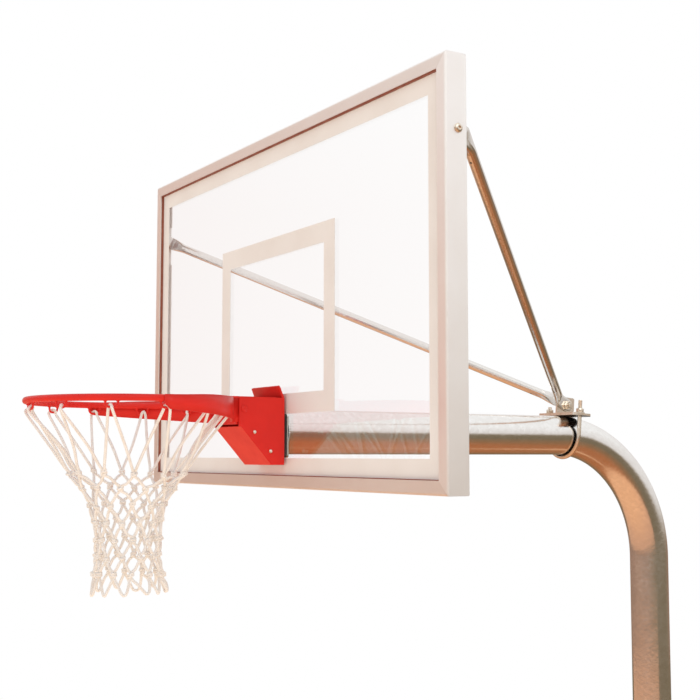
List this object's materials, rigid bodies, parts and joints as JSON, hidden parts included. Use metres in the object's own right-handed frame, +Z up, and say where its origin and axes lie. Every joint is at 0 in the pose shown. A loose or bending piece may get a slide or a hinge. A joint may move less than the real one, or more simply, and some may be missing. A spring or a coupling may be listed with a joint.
{
  "type": "in-ground basketball hoop",
  "caption": "In-ground basketball hoop: bent steel post with a level arm, framed glass backboard held by two braces, and a sprung breakaway rim with a cord net.",
  "frame": {"origin": "where the post's axis meets the ground", "axes": "+Z up, +X to the right as seen from the court, -Y towards the court"},
  "size_m": [1.5356, 2.0037, 4.9649],
  "materials": {
    "galvanised_steel": "hot-dip galvanised, bright",
    "frame_metal": "satin",
    "clear_glass": "clear, polished",
    "line_paint": "satin paint on glass",
    "rubber": "matt",
    "zinc_hardware": "zinc plated",
    "red_paint": "gloss powder coat",
    "bush_plastic": "moulded",
    "net_cord": "braided cord",
    "spring_steel": "oiled"
  },
  "bodies": {
    "stand": {"gooseneck_post": "galvanised_steel", "arm_end_plate": "galvanised_steel", "rear_gasket": "rubber", "frame_bottom": "frame_metal", "frame_top": "frame_metal", "frame_left": "frame_metal", "frame_right": "frame_metal", "backboard_glass": "clear_glass", "glazing_gasket": "rubber", "setting_block_left": "rubber", "setting_block_right": "rubber", "border_line": "line_paint", "target_line": "line_paint", "brace_right": "galvanised_steel", "brace_left": "galvanised_steel", "frame_bolt_right": "zinc_hardware", "frame_bolt_left": "zinc_hardware", "frame_nut_right": "zinc_hardware", "frame_nut_left": "zinc_hardware", "brace_saddle": "zinc_hardware", "u_bolt": "zinc_hardware", "u_bolt_washer_left": "zinc_hardware", "u_bolt_washer_right": "zinc_hardware", "u_bolt_nut_left": "zinc_hardware", "u_bolt_nut_right": "zinc_hardware", "tab_bolt": "zinc_hardware", "tab_nut": "zinc_hardware", "rim_bracket": "red_paint", "rim_pad": "rubber", "bracket_cover": "red_paint", "cover_screw_left_1": "zinc_hardware", "cover_screw_left_2": "zinc_hardware", "cover_screw_right_1": "zinc_hardware", "cover_screw_right_2": "zinc_hardware", "mount_bolt_1": "zinc_hardware", "mount_bolt_2": "zinc_hardware", "mount_bolt_3": "zinc_hardware", "mount_bolt_4": "zinc_hardware", "glass_bushing_1": "bush_plastic", "glass_bushing_2": "bush_plastic", "glass_bushing_3": "bush_plastic", "glass_bushing_4": "bush_plastic", "pivot_pin": "red_paint", "pivot_cap": "red_paint", "spring_right": "spring_steel", "spring_left": "spring_steel"},
    "rim": {"pivot_sleeve": "red_paint", "rim_arm": "red_paint", "rim_strap_right": "red_paint", "rim_strap_left": "red_paint", "rim_ring": "red_paint", "net": "net_cord"}
  },
  "joints": [
    {"name": "rim_breakaway", "type": "hinge", "parent": "stand", "child": "rim", "pos_m": [0, -1.431, 3.0265], "axis": [1, 0, 0], "range_deg": [0, 25], "stiffness_Nm_per_rad": 145, "springref_deg": -28.65, "deforming": ["spring_right", "spring_left"]}
  ]
}
